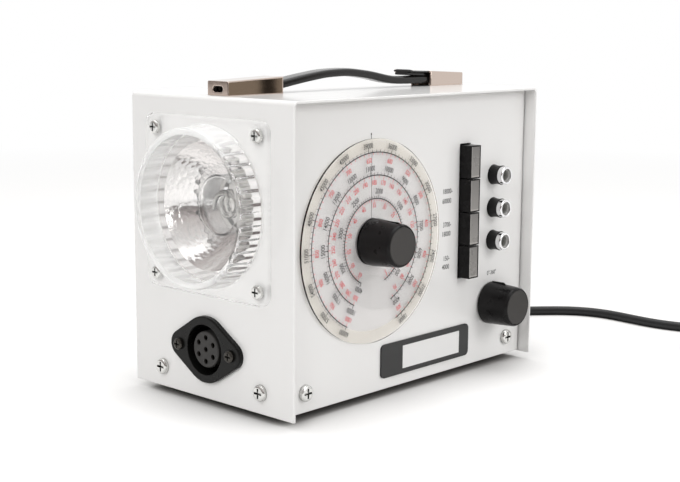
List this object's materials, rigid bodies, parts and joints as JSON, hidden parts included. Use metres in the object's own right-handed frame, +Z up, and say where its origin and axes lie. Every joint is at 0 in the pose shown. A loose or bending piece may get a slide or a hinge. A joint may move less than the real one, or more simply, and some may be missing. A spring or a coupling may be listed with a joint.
{
  "type": "xenon stroboscope",
  "caption": "Portable white bench stroboscope with a clear lamp window and reflector, a large rotating dial, push keys, jack sockets, strap handle and mains lead.",
  "frame": {"origin": "centre of the box round the instrument without its lead, at the bottom of the feet", "axes": "+X from the lamp face to the rear, -Y the control side, +Z up"},
  "size_m": [0.3991, 0.3195, 0.1851],
  "materials": {
    "white_paint": "satin powder coat",
    "zinc_steel": "bright zinc",
    "chrome_trim": "polished nickel",
    "black_rubber": "matt",
    "clear_plastic": "clear moulded",
    "dial_plastic": "clear printed",
    "reflector_metal": "hammered bright",
    "lamp_glass": "clear",
    "black_plastic": "fine satin",
    "gloss_black": "polished",
    "grey_insert": "satin",
    "smoke_window": "clear grey",
    "contact_metal": "bright",
    "plate_black": "gloss enamel",
    "plate_white": "gloss enamel",
    "board_laminate": "varnished",
    "iron_laminate": "varnished",
    "copper_winding": "enamelled wire under tape",
    "can_sleeve": "sleeve",
    "cable_sheath": "smooth sheath"
  },
  "bodies": {
    "housing": {"cover": "white_paint", "base_tray": "white_paint", "control_panel": "white_paint", "far_panel": "white_paint", "cover_screws": "zinc_steel", "panel_screws": "zinc_steel", "feet": "black_rubber", "foot_screws": "zinc_steel", "lens_cover": "clear_plastic", "lens_screws": "zinc_steel", "reflector": "reflector_metal", "lamp_glass": "lamp_glass", "flash_tube": "lamp_glass", "lamp_base": "gloss_black", "lamp_holder": "black_plastic", "lamp_bracket": "zinc_steel", "socket_body": "black_plastic", "socket_insert": "grey_insert", "socket_contacts": "contact_metal", "socket_screws": "zinc_steel", "frequency_control": "black_plastic", "phase_control": "black_plastic", "control_nuts": "zinc_steel", "key_bank": "gloss_black", "jack_collars": "black_plastic", "jack_rings": "chrome_trim", "jack_inserts": "grey_insert", "name_plate": "plate_black", "plate_field": "plate_white", "handle_strap": "gloss_black", "handle_cap_front": "chrome_trim", "handle_cap_rear": "chrome_trim", "handle_screws": "zinc_steel", "circuit_board": "board_laminate", "board_standoffs": "zinc_steel", "storage_capacitor": "can_sleeve", "trigger_coil": "copper_winding", "transformer_core": "iron_laminate", "transformer_winding": "copper_winding", "fuse_holder": "black_plastic", "rocker_bezel": "gloss_black", "cord_gland": "black_rubber", "mains_lead": "cable_sheath", "cord_coil": "cable_sheath", "mains_plug": "black_plastic"},
    "dial": {"dial_disc": "dial_plastic", "main_knob": "black_plastic", "dial_shaft": "zinc_steel"},
    "phase": {"phase_knob": "black_plastic", "phase_shaft": "zinc_steel"},
    "rocker": {"mains_rocker": "gloss_black"},
    "key_1": {"key_1": "gloss_black", "key_window_1": "smoke_window"},
    "key_2": {"key_2": "gloss_black", "key_window_2": "smoke_window"},
    "key_3": {"key_3": "gloss_black", "key_window_3": "smoke_window"},
    "key_4": {"key_4": "gloss_black", "key_window_4": "smoke_window"}
  },
  "joints": [
    {"name": "dial_turn", "type": "hinge", "parent": "housing", "child": "dial", "pos_m": [-0.0351, -0.04915, 0.0921], "axis": [0, -1, 0], "range_deg": [-153, 153]},
    {"name": "phase_turn", "type": "hinge", "parent": "housing", "child": "phase", "pos_m": [0.0766, -0.04915, 0.0407], "axis": [0, -1, 0], "range_deg": [-150, 150]},
    {"name": "rocker_tip", "type": "hinge", "parent": "housing", "child": "rocker", "pos_m": [0.1071, -0.02995, 0.0352], "axis": [0, 1, 0], "range_deg": [-18, 0]},
    {"name": "key_1_push", "type": "slide", "parent": "housing", "child": "key_1", "axis": [0, 1, 0], "range_m": [0, 0.004], "stiffness_N_per_m": 500, "springref_m": -0.001},
    {"name": "key_2_push", "type": "slide", "parent": "housing", "child": "key_2", "axis": [0, 1, 0], "range_m": [0, 0.004], "stiffness_N_per_m": 500, "springref_m": -0.001},
    {"name": "key_3_push", "type": "slide", "parent": "housing", "child": "key_3", "axis": [0, 1, 0], "range_m": [0, 0.004], "stiffness_N_per_m": 500, "springref_m": -0.001},
    {"name": "key_4_push", "type": "slide", "parent": "housing", "child": "key_4", "axis": [0, 1, 0], "range_m": [0, 0.004], "stiffness_N_per_m": 500, "springref_m": -0.001}
  ]
}
